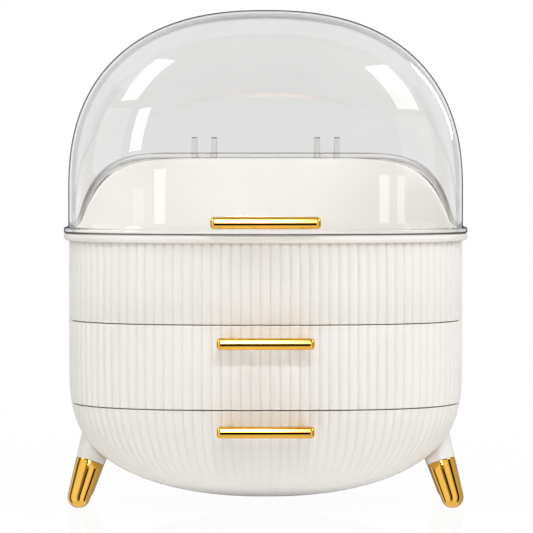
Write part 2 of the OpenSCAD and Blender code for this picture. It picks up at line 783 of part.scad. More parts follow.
module leg(sx, sy) {
    q = join_spot(sx, sy);
    color(ivory) difference() {
        union() {
            difference() {
                on_leg(sx, sy) translate([0, 0, cap_len])
                    cylinder(r1 = leg_r(cap_len), r2 = leg_r(leg_len), h = leg_len - cap_len);
                bowl_wedge(sx, sy, leg_air);
            }
            on_leg(sx, sy) translate([0, 0, cap_len - tenon_len]) cylinder(r = tenon_r, h = tenon_len + over);
            translate([q.x, q.y, spigot_from])
                cylinder(r = spigot_r, h = boss_top - boss_roof - spigot_air - spigot_from);
        }
        translate([q.x, q.y, boss_top - screw_depth - tip_air]) cylinder(r = screw_r + fit, h = screw_depth);
    }
}

module foot_cap(sx, sy) {
    color(gold) difference() {
        on_leg(sx, sy) rotate_extrude($fn = bar_facets) polygon(concat(
            [[0, -foot_r]],
            [for (a = [-80:10:-10]) foot_r * [cos(a), sin(a)]],
            [[foot_r, 0], [leg_r(cap_len), cap_len - fit], [tenon_r + fit, cap_len - fit],
             [tenon_r + fit, tenon_foot], [0, tenon_foot]]));
        block([-body_w, -body_d, -foot_r], [body_w, body_d, 0]);
    }
}

module leg_screws() {
    color(steel) at_bosses() upright_screw(boss_top, screw_depth - tip_air);
}

module front_left_leg() { leg(-1, -1); }
module front_right_leg() { leg(1, -1); }
module rear_left_leg() { leg(-1, 1); }
module rear_right_leg() { leg(1, 1); }
module front_left_cap() { foot_cap(-1, -1); }
module front_right_cap() { foot_cap(1, -1); }
module rear_left_cap() { foot_cap(-1, 1); }
module rear_right_cap() { foot_cap(1, 1); }

translate([0, shift_y, 0]) dust_cover();
translate([0, shift_y, 0]) cover_handle_bar();
translate([0, shift_y, 0]) cover_handle_posts();
translate([0, shift_y, 0]) cover_handle_screws();
translate([0, shift_y, 0]) hinge_pin_left();
translate([0, shift_y, 0]) hinge_pin_right();
translate([0, shift_y, 0]) top_tray();
translate([0, shift_y, 0]) tray_screws();
translate([0, shift_y, 0]) middle_case();
translate([0, shift_y, 0]) middle_drawer_front();
translate([0, shift_y, 0]) middle_drawer_bin();
translate([0, shift_y, 0]) middle_handle_bar();
translate([0, shift_y, 0]) middle_handle_posts();
translate([0, shift_y, 0]) middle_handle_screws();
translate([0, shift_y, 0]) bottom_case();
translate([0, shift_y, 0]) bottom_drawer_front();
translate([0, shift_y, 0]) bottom_drawer_bin();
translate([0, shift_y, 0]) bottom_handle_bar();
translate([0, shift_y, 0]) bottom_handle_posts();
translate([0, shift_y, 0]) bottom_handle_screws();
translate([0, shift_y, 0]) front_left_leg();
translate([0, shift_y, 0]) front_right_leg();
translate([0, shift_y, 0]) rear_left_leg();
translate([0, shift_y, 0]) rear_right_leg();
translate([0, shift_y, 0]) front_left_cap();
translate([0, shift_y, 0]) front_right_cap();
translate([0, shift_y, 0]) rear_left_cap();
translate([0, shift_y, 0]) rear_right_cap();
translate([0, shift_y, 0]) leg_screws();
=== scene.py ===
import json
import math

import bmesh
import bpy
from mathutils import Matrix, Vector


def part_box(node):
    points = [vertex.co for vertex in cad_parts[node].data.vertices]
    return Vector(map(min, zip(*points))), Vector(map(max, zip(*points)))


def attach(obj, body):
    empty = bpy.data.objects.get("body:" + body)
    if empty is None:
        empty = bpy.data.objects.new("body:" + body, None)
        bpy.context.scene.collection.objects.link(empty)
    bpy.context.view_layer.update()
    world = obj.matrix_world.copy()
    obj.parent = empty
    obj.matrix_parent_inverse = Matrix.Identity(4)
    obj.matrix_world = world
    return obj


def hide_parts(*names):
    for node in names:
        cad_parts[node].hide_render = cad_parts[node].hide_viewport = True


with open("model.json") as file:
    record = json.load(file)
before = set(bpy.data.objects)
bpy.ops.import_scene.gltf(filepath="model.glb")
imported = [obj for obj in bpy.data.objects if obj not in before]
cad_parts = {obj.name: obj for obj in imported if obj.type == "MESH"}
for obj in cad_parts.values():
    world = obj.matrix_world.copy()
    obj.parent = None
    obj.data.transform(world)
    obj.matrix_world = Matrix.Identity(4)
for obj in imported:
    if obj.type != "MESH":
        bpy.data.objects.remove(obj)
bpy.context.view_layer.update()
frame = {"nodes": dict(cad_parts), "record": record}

nodes = frame["nodes"]
print("stage: frame loaded,", len(nodes), "nodes")

# driving sizes, in metres
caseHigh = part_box("middle_case")[1]
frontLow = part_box("middle_drawer_front")[0]
trayLow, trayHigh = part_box("top_tray")
coverLow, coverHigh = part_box("dust_cover")

body = {
    "ribs": 116, "frontRibs": 49, "columnsPerRib": 12, "groove": 0.0013, "ribFullness": 2.1,
    "squareness": 2.7, "outlineSteps": 5760, "skin": 0.0035, "slack": 0.00035, "seam": 0.00065,
    "edgeRadius": 0.0005, "edgeStep": 0.3, "wallRows": (0.12, 0.25, 0.45, 0.7), "bowlRows": 30,
    "standHeight": 0.0075, "turnHeight": 0.1075, "bowlPower": 3.15, "spread": 0.9, "spreadMost": 0.42,
}
rim = {
    "reach": 0.0042, "thickness": 0.0055, "backRise": 0.0585, "riseFrom": 0.017, "riseEnd": 0.005,
    "lowerRadius": 0.0026, "upperRadius": 0.0009, "innerRadius": 0.0011,
}
mergeWithin, sliverWithin = 1e-7, 1e-8

halfWide = (trayHigh.x - trayLow.x) / 2 - rim["reach"]
halfDeep = (caseHigh.y - frontLow.y) / 2
midY = (caseHigh.y + frontLow.y) / 2
lowSeam = frontLow.z - body["seam"] / 2
highSeam = trayLow.z - body["seam"] / 2
frontRim = coverLow.z - body["slack"]
coverTop = coverHigh.z
shoulder = body["standHeight"] + body["turnHeight"]


def planPoint(angle):
    # outline of the body seen from above, a square-shouldered ellipse
    power = body["squareness"]
    wide, deep = abs(math.cos(angle) / halfWide), abs(math.sin(angle) / halfDeep)
    radius = (wide ** power + deep ** power) ** (-1 / power)
    return Vector((radius * math.cos(angle), radius * math.sin(angle)))


def outwardAt(point):
    power = body["squareness"] - 1
    slope = Vector((math.copysign((abs(point.x) / halfWide) ** power / halfWide, point.x),
                    math.copysign((abs(point.y) / halfDeep) ** power / halfDeep, point.y)))
    return slope.normalized()


def walkOutline(steps):
    # arc length from the middle of the front against angle
    start = -math.pi / 2
    walk, length, last = [(0.0, start)], 0.0, planPoint(start)
    for step in range(1, steps + 1):
        angle = start + step * 2 * math.pi / steps
        point = planPoint(angle)
        length += (point - last).length
        walk.append((length, angle))
        last = point
    return walk


walk = walkOutline(body["outlineSteps"])
roundLength = walk[-1][0]
ribPitch = roundLength / body["ribs"]
splitArc = body["frontRibs"] / 2 * ribPitch


def angleAt(arc):
    arc %= roundLength
    low, high = 0, len(walk) - 1
    while high - low > 1:
        mid = (low + high) // 2
        low, high = (mid, high) if walk[mid][0] <= arc else (low, mid)
    (a, p), (b, q) = walk[low], walk[high]
    return p + (q - p) * (arc - a) / (b - a)


class Column:
    # one upright line of the wall: its place on the outline, and how deep the groove cuts there
    def __init__(self, arc, share=None):
        self.arc = arc
        self.point = planPoint(angleAt(arc))
        self.out = outwardAt(self.point)
        self.cut = 0.0 if share is None else body["groove"] * abs(2 * share - 1) ** body["ribFullness"]


def ribColumns():
    per = body["columnsPerRib"]
    return [Column((rib - 0.5 + step / per) * ribPitch, step / per)
            for rib in range(body["ribs"]) for step in range(per)]


def smoothColumns(count):
    return [Column(k * roundLength / count) for k in range(count)]


def onBowl(column, size):
    # on the bowl the ribs stay more upright at the front and back, and close up at the sides
    if size >= 1:
        return column.point, column.out
    spread = min(body["spreadMost"], body["spread"] * (1 - size))
    half = roundLength / 2
    arc = (column.arc + half) % roundLength - half
    if abs(arc) > splitArc:
        arc, reach, start = column.arc % roundLength - half, half - splitArc, half
    else:
        reach, start = splitArc, 0.0
    arc += spread * reach / math.pi * math.sin(math.pi * arc / reach)
    point = planPoint(angleAt(start + arc))
    return point, outwardAt(point)


def bowlSize(z, off=0.0):
    if z >= shoulder:
        return 1.0
    return math.sqrt(max(0.0, 1 - ((shoulder - z) / (body["turnHeight"] - off)) ** body["bowlPower"]))


def bowlLevel(size, off=0.0):
    return shoulder - (body["turnHeight"] - off) * (1 - size * size) ** (1 / body["bowlPower"])


def rise(y):
    # how far the rim has climbed at depth y behind the middle
    start, end = rim["riseFrom"], halfDeep - rim["riseEnd"]
    share = min(1.0, max(0.0, (y - start) / (end - start)))
    return rim["backRise"] * (1 - math.cos(math.pi * share)) / 2


def quarter(step, start=0):
    # angles of a quarter turn, a step in degrees apart
    return [math.radians(degrees) for degrees in range(start, 91, step)]


def only(kind, geom):
    return [g for g in geom if isinstance(g, kind)]


def vertsOf(geom):
    return only(bmesh.types.BMVert, geom)


def edgesOf(geom):
    return only(bmesh.types.BMEdge, geom)


def finish(bm, name, bodyName, slotName, replaced, sharp=38):
    bmesh.ops.remove_doubles(bm, verts=bm.verts, dist=mergeWithin)
    bmesh.ops.dissolve_degenerate(bm, edges=bm.edges, dist=sliverWithin)
    bmesh.ops.recalc_face_normals(bm, faces=bm.faces)
    mesh = bpy.data.meshes.new(name)
    bm.to_mesh(mesh)
    bm.free()
    mesh.shade_smooth()
    mesh.set_sharp_from_angle(angle=math.radians(sharp))
    piece = bpy.data.objects.new(name, mesh)
    bpy.context.scene.collection.objects.link(piece)
    mesh.materials.append(finishes[slotName])
    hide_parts(*replaced)
    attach(piece, bodyName)


def placeRow(verts, columns, layer, place):
    for v in verts:
        x, y, z = place(columns[v[layer]])
        v.co = (x, y + midY, z)


def startRing(columns, place):
    # a circle with one vertex for each column, moved to its first level
    bm = bmesh.new()
    layer = bm.verts.layers.int.new("column")
    ring = bmesh.ops.create_circle(bm, cap_ends=False, radius=1, segments=len(columns))["verts"]
    for index, v in enumerate(ring):
        v[layer] = index
    edges = list(bm.edges)
    placeRow(ring, columns, layer, place)
    return bm, layer, edges


def growRing(bm, layer, edges, columns, place):
    # extrudes the open ring once and moves the new row to its level
    grown = bmesh.ops.extrude_edge_only(bm, edges=edges)["geom"]
    row = set(vertsOf(grown))
    placeRow(row, columns, layer, place)
    return [e for e in edgesOf(grown) if row.issuperset(e.verts)]


def pushOut(bm, faces, move):
    # extrudes faces by a vector and gives back what grew
    grown = bmesh.ops.extrude_face_region(bm, geom=faces)["geom"]
    bmesh.ops.translate(bm, vec=move, verts=vertsOf(grown))
    return grown


def box(bm, low, high, bevel):
    made = bmesh.ops.create_cube(bm, size=1)["verts"]
    low, high = Vector(low), Vector(high)
    bmesh.ops.scale(bm, vec=high - low, verts=made)
    bmesh.ops.translate(bm, vec=(low + high) / 2, verts=made)
    edges = list({e for v in made for e in v.link_edges})
    bmesh.ops.bevel(bm, geom=edges, offset=bevel, offset_type="OFFSET", affect="EDGES",
                    segments=3, profile=0.5, material=-1)


def turned(outline, steps, place):
    # spins an open outline of (radius, height) points once round its axis
    bm = bmesh.new()
    verts = [bm.verts.new((radius, 0, height)) for radius, height in outline]
    edges = [bm.edges.new(pair) for pair in zip(verts, verts[1:])]
    bmesh.ops.spin(bm, geom=verts + edges, cent=(0, 0, 0), axis=(0, 0, 1), angle=2 * math.pi,
                   steps=steps, use_merge=True, use_duplicate=False)
    bmesh.ops.remove_doubles(bm, verts=bm.verts, dist=mergeWithin)
    bmesh.ops.transform(bm, matrix=place, verts=bm.verts)
    return bm


def newMaterial(name):
    material = bpy.data.materials.new(name)
    material.use_nodes = True
    tree = material.node_tree
    return material, tree, tree.nodes["Principled BSDF"]


def noiseOn(tree, scale, detail):
    coordinates = tree.nodes.new("ShaderNodeTexCoord")
    noise = tree.nodes.new("ShaderNodeTexNoise")
    noise.inputs["Scale"].default_value = scale
    noise.inputs["Detail"].default_value = detail
    tree.links.new(coordinates.outputs["Object"], noise.inputs["Vector"])
    return noise.outputs["Fac"]


def rampFrom(tree, source, stops):
    ramp = tree.nodes.new("ShaderNodeValToRGB")
    elements = ramp.color_ramp.elements
    while len(elements) < len(stops):
        elements.new(0.5)
    for element, (position, colour) in zip(elements, stops):
        element.position = position
        element.color = (*colour, 1)
    tree.links.new(source, ramp.inputs["Fac"])
    return ramp.outputs["Color"]


def rangeFrom(tree, source, low, high, start=0.0, end=1.0):
    # start to end in the source becomes low to high
    mapped = tree.nodes.new("ShaderNodeMapRange")
    mapped.inputs["From Min"].default_value = start
    mapped.inputs["From Max"].default_value = end
    mapped.inputs["To Min"].default_value = low
    mapped.inputs["To Max"].default_value = high
    tree.links.new(source, mapped.inputs["Value"])
    return mapped.outputs["Result"]


def bumpFrom(tree, source, strength, distance):
    bump = tree.nodes.new("ShaderNodeBump")
    bump.inputs["Strength"].default_value = strength
    bump.inputs["Distance"].default_value = distance
    tree.links.new(source, bump.inputs["Height"])
    return bump.outputs["Normal"]


def mathOn(tree, operation, first, second):
    # second is a socket or a plain number
    node = tree.nodes.new("ShaderNodeMath")
    node.operation = operation
    tree.links.new(first, node.inputs[0])
    if isinstance(second, bpy.types.NodeSocket):
        tree.links.new(second, node.inputs[1])
    else:
        node.inputs[1].default_value = second
    return node.outputs["Value"]


def mixShaders(tree, factor, below, above):
    mix = tree.nodes.new("ShaderNodeMixShader")
    tree.links.new(factor, mix.inputs["Fac"])
    tree.links.new(below, mix.inputs[1])
    tree.links.new(above, mix.inputs[2])
    return mix.outputs["Shader"]


def seeThrough(tree, factor, below, colour):
    # a see-through tint laid over the shader below it
    tint = tree.nodes.new("ShaderNodeBsdfTransparent")
    tint.inputs["Color"].default_value = (*colour, 1)
    return mixShaders(tree, factor, below, tint.outputs["BSDF"])


def surfaceTo(tree, shader):
    tree.links.new(shader, tree.nodes["Material Output"].inputs["Surface"])


ivoryLook = {
    "light": (0.881, 0.869, 0.845), "dark": (0.857, 0.843, 0.815), "cloudSpan": (0.3, 0.7),
    "cloudScale": 14, "cloudDetail": 4, "roughness": (0.25, 0.34), "metallic": 0.0, "ior": 1.49,
    "grainScale": 900, "grainDetail": 2, "grainStrength": 0.25, "grainDepth": 0.00002,
    # the crevice colours paint warm shade into seams and hollows
    "paintedShade": (0.6, 0.43, 0.27), "paintedShadeFrom": 0.12, "paintedShadeTo": 0.86, "paintedShadeReach": 0.004,
    "paintedShadeSamples": 6,
}
goldLook = {
    "light": (0.82, 0.47, 0.09), "dark": (0.78, 0.42, 0.06), "cloudSpan": (0.3, 0.7),
    "cloudScale": 30, "cloudDetail": 4, "roughness": (0.035, 0.07), "metallic": 1.0, "ior": 1.5,
    "grainScale": 1500, "grainDetail": 2, "grainStrength": 0.1, "grainDepth": 0.000003,
}
steelLook = {
    "light": (0.72, 0.72, 0.73), "dark": (0.58, 0.58, 0.6), "cloudSpan": (0.3, 0.7),
    "cloudScale": 220, "cloudDetail": 5, "roughness": (0.24, 0.42), "metallic": 1.0, "ior": 1.5,
    "grainScale": 220, "grainDetail": 5, "grainStrength": 0.2, "grainDepth": 0.00002,
}


def paintedCreviceShade(tree, colour, look):
    # painted shade: the colour is darkened to a warm brown where little light gets in, as along seams and under
    # the rim
    hollow = tree.nodes.new("ShaderNodeAmbientOcclusion")
    hollow.samples = look["paintedShadeSamples"]
    hollow.inputs["Distance"].default_value = look["paintedShadeReach"]
    shade = rampFrom(tree, hollow.outputs["AO"],
                     [(look["paintedShadeFrom"], look["paintedShade"]), (look["paintedShadeTo"], (1, 1, 1))])
    mix = tree.nodes.new("ShaderNodeMix")
    mix.data_type = "RGBA"
    mix.blend_type = "MULTIPLY"
    mix.inputs["Factor"].default_value = 1.0
    tree.links.new(colour, mix.inputs["A"])
    tree.links.new(shade, mix.inputs["B"])
    return mix.outputs["Result"]


def solidFinish(name, look):
    # tone and gloss drift together in soft clouds, under a fine grain
    material, tree, shader = newMaterial(name)
    clouds = noiseOn(tree, look["cloudScale"], look["cloudDetail"])
    grain = noiseOn(tree, look["grainScale"], look["grainDetail"])
    colour = rampFrom(tree, clouds, list(zip(look["cloudSpan"], (look["dark"], look["light"]))))
    # painted shade in seams and hollows
    if "paintedShade" in look:
        colour = paintedCreviceShade(tree, colour, look)
    tree.links.new(colour, shader.inputs["Base Color"])
    tree.links.new(rangeFrom(tree, clouds, *look["roughness"]), shader.inputs["Roughness"])
    tree.links.new(bumpFrom(tree, grain, look["grainStrength"], look["grainDepth"]),
                   shader.inputs["Normal"])
    shader.inputs["Metallic"].default_value = look["metallic"]
    shader.inputs["IOR"].default_value = look["ior"]
    return material


clearLook = {
    "clean": (0.89, 0.888, 0.886), "hazy": (0.868, 0.866, 0.864), "hazeSpan": (0.35, 0.65),
    "hazeScale": 8, "hazeDetail": 3, "ior": 1.46,
    "waveScale": 16, "waveDetail": 1, "waveStrength": 0.15, "waveDepth": 0.0004,
    # the edge colour paints shade where the plastic is seen edge on
    "edge": (0.06, 0.075, 0.17), "edgeFrom": 0.83, "edgeTo": 0.91, "edgeShare": 0.9,
    # the rim line colour paints shade along the foot of the cover
    "paintedRimShade": (0.035, 0.038, 0.075), "paintedRimShadeShare": 0.85, "paintedRimShadeFade": 0.7,
    "shadowTint": (0.975, 0.975, 0.975),
}


def clearPlastic(name, look):
    material, tree, shader = newMaterial(name)
    haze = noiseOn(tree, look["hazeScale"], look["hazeDetail"])
    tone = rampFrom(tree, haze, list(zip(look["hazeSpan"], (look["hazy"], look["clean"]))))
    tree.links.new(tone, shader.inputs["Base Color"])
    waves = noiseOn(tree, look["waveScale"], look["waveDetail"])
    tree.links.new(bumpFrom(tree, waves, look["waveStrength"], look["waveDepth"]),
                   shader.inputs["Normal"])
    shader.inputs["Roughness"].default_value = 0.0  # a perfect mirror, so goldOnly cards stay out of it
    shader.inputs["Transmission Weight"].default_value = 1.0
    shader.inputs["IOR"].default_value = look["ior"]
    # painted shade: where the plastic is seen edge on it is tinted dark navy, standing in for the dark
    # surroundings its thick wall reflects and refracts there
    facing = tree.nodes.new("ShaderNodeLayerWeight")
    edge = rampFrom(tree, facing.outputs["Facing"],
                    [(look["edgeFrom"], (0, 0, 0)), (look["edgeTo"], (look["edgeShare"],) * 3)])
    result = seeThrough(tree, edge, shader.outputs["BSDF"], look["edge"])
    # painted shade: a dark navy line along the foot of the cover, where the gap under its rim looks dark
    paintedLine = tree.nodes.new("ShaderNodeAttribute")
    paintedLine.attribute_name = "paintedRimShade"
    result = seeThrough(tree, paintedLine.outputs["Fac"], result, look["paintedRimShade"])
    # lamps reach what is behind the cover
    path = tree.nodes.new("ShaderNodeLightPath")
    result = seeThrough(tree, path.outputs["Is Shadow Ray"], result, look["shadowTint"])
    surfaceTo(tree, result)
    return material


finishes = {
    "ivory_plastic": solidFinish("ivory_plastic", ivoryLook),
    "gold_plating": solidFinish("gold_plating", goldLook),
    "screw_steel": solidFinish("screw_steel", steelLook),
    "clear_plastic": clearPlastic("clear_plastic", clearLook),
}
for entry in frame["record"]["subparts"]:
    mesh = nodes[entry["node"]].data
    mesh.materials.clear()
    mesh.materials.append(finishes[entry["material_slot"]])
print("stage: materials")

ribbed = ribColumns()
ribTotal = len(ribbed)
sideRibs = (body["frontRibs"] - 1) // 2
splitColumn = (sideRibs + 1) * body["columnsPerRib"]


def stretchPlaces(front):
    # the columns of a drawer front, or of the case behind it, in order along the outline
    per = body["columnsPerRib"]
    if front:
        return [ribbed[k % ribTotal] for k in range(per - splitColumn, splitColumn + 1)]
    places = ribbed[splitColumn:ribTotal - splitColumn + per + 1]
    # the case stands back from the drawer front by the slack
    first = (sideRibs + 0.5) * ribPitch + body["slack"]
    last = (body["ribs"] - sideRibs - 0.5) * ribPitch - body["slack"]
    places[0], places[-1] = Column(first, 0.0), Column(last, 0.0)
    return places


def stretchWall(places, levels):
    # a strip one cell deep from the outer to the inner face, extruded upwards level by level
    bm = bmesh.new()
    column = bm.verts.layers.int.new("column")
    inner = bm.verts.layers.int.new("inner")
    count = len(places)
    strip = bmesh.ops.create_grid(bm, x_segments=count - 1, y_segments=1, size=1)["verts"]
    for v in strip:
        v[column] = round((v.co.x + 1) / 2 * (count - 1))
        v[inner] = 1 if v.co.y > 0 else 0

    def place(verts, level):
        for v in verts:
            c = places[v[column]]
            z, size, off = level[v[inner]]
            cut = 0.0 if v[inner] else c.cut
            point, out = onBowl(c, size)
            flat = (point - (off + cut) * out) * size
            v.co = (flat.x, flat.y + midY, z)

    place(strip, levels[0])
    top = list(bm.faces)
    for level in levels[1:]:
        grown = bmesh.ops.extrude_face_region(bm, geom=top)["geom"]
        place(vertsOf(grown), level)
        top = only(bmesh.types.BMFace, grown)
    return bm


def uprightLevels(low, high):
    # heights with how far the outer face lies in, which rounds the two edges
    r, step = body["edgeRadius"], body["edgeStep"] * body["edgeRadius"]
    heights = [(low, r), (low + step, step), (low + r, 0)]
    heights += [(low + (high - low) * share, 0) for share in body["wallRows"]]
    heights += [(high - r, 0), (high - step, step), (high, r)]
    return [((z, bowlSize(z), off), (z, bowlSize(low), body["skin"])) for z, off in heights]


def bowlLevels(high):
    r, step = body["edgeRadius"], body["edgeStep"] * body["edgeRadius"]
    skin, rows = body["skin"], body["bowlRows"]
    outerEnd, innerEnd = math.asin(bowlSize(high - r)), math.asin(bowlSize(high - r, skin))
    levels = []
    for row in range(rows + 1):
        share = row / rows
        outer, inner = math.sin(outerEnd * share), math.sin(innerEnd * share)
        levels.append(((bowlLevel(outer), outer, 0), (bowlLevel(inner, skin), inner, skin)))
    for z, off in ((high - step, step), (high, r)):
        levels.append(((z, bowlSize(z), off), (z, bowlSize(z, skin), skin)))
    return levels


frontPlaces, rearPlaces = stretchPlaces(True), stretchPlaces(False)
middleLow, middleHigh = lowSeam + body["seam"] / 2, highSeam - body["seam"] / 2
bottomHigh = lowSeam - body["seam"] / 2

finish(stretchWall(frontPlaces, uprightLevels(middleLow, middleHigh)), "middleDrawerFront",
       "middle_drawer", "ivory_plastic", ["middle_drawer_front"])
finish(stretchWall(frontPlaces, bowlLevels(bottomHigh)), "bottomDrawerFront",
       "bottom_drawer", "ivory_plastic", ["bottom_drawer_front"])
print("stage: drawer fronts")

cases = {
    "hairline": 0.0001, "shelfColumns": 240, "splitStep": 0.004,
    "guide": 0.003, "guideHeight": 0.008, "guideRoot": 0.001, "guideBevel": 0.0004,
}
middleShelf = {
    "top": 0.0866, "lift": 0.0003, "root": 0.001, "gap": 0.0007,
    "guideSpan": 0.11835, "guideFrom": -0.06, "guideTo": 0.06,
}
baseFloor = {
    "top": 0.0325, "thickness": 0.0026, "root": 0.0015, "gap": 0.0023,
    "guideSpan": 0.10235, "guideFrom": -0.016, "guideTo": 0.04,
}


def shelfInto(bm, spec, size, low):
    # a plate that grows into the case behind the split and stands clear of the drawer front before it
    columns = smoothColumns(cases["shelfColumns"])
    splitY = rearPlaces[0].point.y + cases["splitStep"]
    made = bmesh.ops.create_circle(bm, cap_ends=True, radius=1, segments=len(columns))["verts"]
    for v, c in zip(made, columns):
        off = body["skin"] + spec["gap"] if c.point.y < splitY else body["skin"] - spec["root"]
        flat = (c.point - off * c.out) * size
        v.co = (flat.x, flat.y + midY, low)
    face = list({f for v in made for f in v.link_faces})
    pushOut(bm, face, (0, 0, spec["top"] - low))


def guidesInto(bm, spec):
    low, high = spec["top"] - cases["guideRoot"], spec["top"] + cases["guideHeight"]
    for side in (-1, 1):
        edges = sorted((side * spec["guideSpan"], side * (spec["guideSpan"] + cases["guide"])))
        box(bm, (edges[0], spec["guideFrom"] + midY, low), (edges[1], spec["guideTo"] + midY, high),
            cases["guideBevel"])


def fitOut(bm, spec, size, low):
    # gives a case its shelf or floor, and the guides that its drawer runs between
    bmesh.ops.recalc_face_normals(bm, faces=bm.faces)
    shelfInto(bm, spec, size, low)
    guidesInto(bm, spec)
    return bm


middleTop = highSeam + body["seam"] / 2 - cases["hairline"]
middleCase = stretchWall(rearPlaces, uprightLevels(lowSeam, middleTop))
finish(fitOut(middleCase, middleShelf, bowlSize(lowSeam), lowSeam + middleShelf["lift"]),
       "middleCase", "case", "ivory_plastic", ["middle_case"])

bottomCase = stretchWall(rearPlaces, bowlLevels(lowSeam - cases["hairline"]))
baseLow = baseFloor["top"] - baseFloor["thickness"]
finish(fitOut(bottomCase, baseFloor, bowlSize(baseLow, body["skin"]), baseLow),
       "bottomCase", "case", "ivory_plastic", ["bottom_case"])
print("stage: cases")

tray = {"floor": 0.0026, "filletRadius": 0.003, "wallRow": 0.03, "rimGap": 0.0002}


def wallPlace(off, z, fluted=1.0):
    # a place on the wall: off is measured inwards from the rib crests
    return lambda c: (*(c.point - (off + c.cut * fluted) * c.out), z)


def rimPlace(offset, drop):
    # a place on the rim: offset outwards from the rib crests, drop below the rim line
    def place(c):
        flat = c.point + offset * c.out
        return flat.x, flat.y, frontRim + rise(flat.y) - drop
    return place


def topTray():
    foot = highSeam + body["seam"] / 2
    r, step, skin = body["edgeRadius"], body["edgeStep"] * body["edgeRadius"], body["skin"]
    reach, thick = rim["reach"], rim["thickness"]
    lower, upper, inner = rim["lowerRadius"], rim["upperRadius"], rim["innerRadius"]
    floorZ, fillet = foot + tray["floor"], tray["filletRadius"]

    def underRim(c):
        flat = c.point - c.cut * c.out
        return flat.x, flat.y, frontRim + rise(flat.y) - thick - tray["rimGap"]

    # up the outside, round the rim and down the inside to the floor
    levels = [wallPlace(r, foot), wallPlace(step, foot + step), wallPlace(0, foot + r),
              wallPlace(0, foot + tray["wallRow"]), underRim, rimPlace(reach - lower, thick)]
    levels += [rimPlace(reach - lower * (1 - math.sin(a)), thick - lower * (1 - math.cos(a)))
               for a in quarter(15, 15)]
    levels += [rimPlace(reach - upper * (1 - math.cos(a)), upper * (1 - math.sin(a)))
               for a in quarter(30)]
    levels += [rimPlace(-skin + inner * (1 - math.sin(a)), inner * (1 - math.cos(a)))
               for a in quarter(30)]
    levels.append(wallPlace(skin, floorZ + tray["wallRow"], fluted=0))
    levels += [wallPlace(skin + fillet * (1 - math.cos(a)), floorZ + fillet * (1 - math.sin(a)), fluted=0)
               for a in quarter(30)]
    bm, layer, edges = startRing(ribbed, levels[0])
    bmesh.ops.contextual_create(bm, geom=edges)
    for place in levels[1:]:
        edges = growRing(bm, layer, edges, ribbed, place)
    bmesh.ops.contextual_create(bm, geom=edges)
    bmesh.ops.recalc_face_normals(bm, faces=bm.faces)
    return bm


hinge = {
    "pitch": 0.102, "gap": 0.0006, "drop": 0.002,
    "knuckle": 0.0048, "knuckleWidth": 0.0111, "segments": 48, "webRoot": 0.001, "webBevel": 0.0003,
    "earPitch": 0.0164, "ear": 0.0046, "earHeight": 0.018, "earLean": 0.004, "earTip": 0.001,
    "earFoot": 0.0007, "earRoot": 0.0008, "earShoulder": 0.004, "earBevel": 0.0005,
    "earCorner": 0.0016, "cornerPoints": ((0.35, -1), (-0.3, -0.15), (-1.1, 0)),
}
hingeY = halfDeep + rim["reach"] + hinge["gap"] + hinge["knuckle"]
hingeZ = frontRim + rim["backRise"] - hinge["drop"]


def knuckleInto(bm, x):
    # a barrel on a short web behind the rim
    half, radius, root = hinge["knuckleWidth"] / 2, hinge["knuckle"], hinge["webRoot"]
    made = bmesh.ops.create_circle(bm, cap_ends=True, radius=radius, segments=hinge["segments"])["verts"]
    bmesh.ops.rotate(bm, verts=made, cent=(0, 0, 0), matrix=Matrix.Rotation(math.pi / 2, 3, "Y"))
    bmesh.ops.translate(bm, verts=made, vec=(x - half, hingeY + midY, hingeZ))
    face = list({f for v in made for f in v.link_faces})
    pushOut(bm, face, (2 * half, 0, 0))
    box(bm, (x - half, halfDeep + midY - root, hingeZ - radius), (x + half, hingeY + midY, hingeZ + root),
        hinge["webBevel"])


trayMesh = topTray()
for side in (-1, 1):
    knuckleInto(trayMesh, side * hinge["pitch"] / 2)
finish(trayMesh, "topTray", "case", "ivory_plastic", ["top_tray"])
print("stage: tray")

cover = {
    "columns": 348, "rows": 52, "straight": 0.0325, "wall": 0.0022, "off": 0.0007,
    "sidePower": 2.4, "endPower": 3.2, "rimHeight": 0.0042, "rimRadius": 0.0011, "rootRadius": 0.0009,
    "lineHeight": 0.0016, "mergeWithin": 1e-6, "sharp": 50,
}
coverShoulder = frontRim + cover["straight"]


def coverSize(z, off, power):
    share = max(0.0, z - coverShoulder) / (coverTop - coverShoulder - off)
    return 0.0 if share >= 1 else (1 - share ** power) ** (1 / power)


def coverRow(off, drop, share=0.0, topOff=0.0):
    # a row of the cover: off outwards, drop above the rim line, share of the way to the top
    def place(c):
        flat = c.point + off * c.out
        z = frontRim + body["slack"] + rise(flat.y) + drop
        z += (coverTop - topOff - z) * math.sin(math.pi / 2 * share)
        return (flat.x * coverSize(z, topOff, cover["sidePower"]),
                flat.y * coverSize(z, topOff, cover["endPower"]), z)
    return place


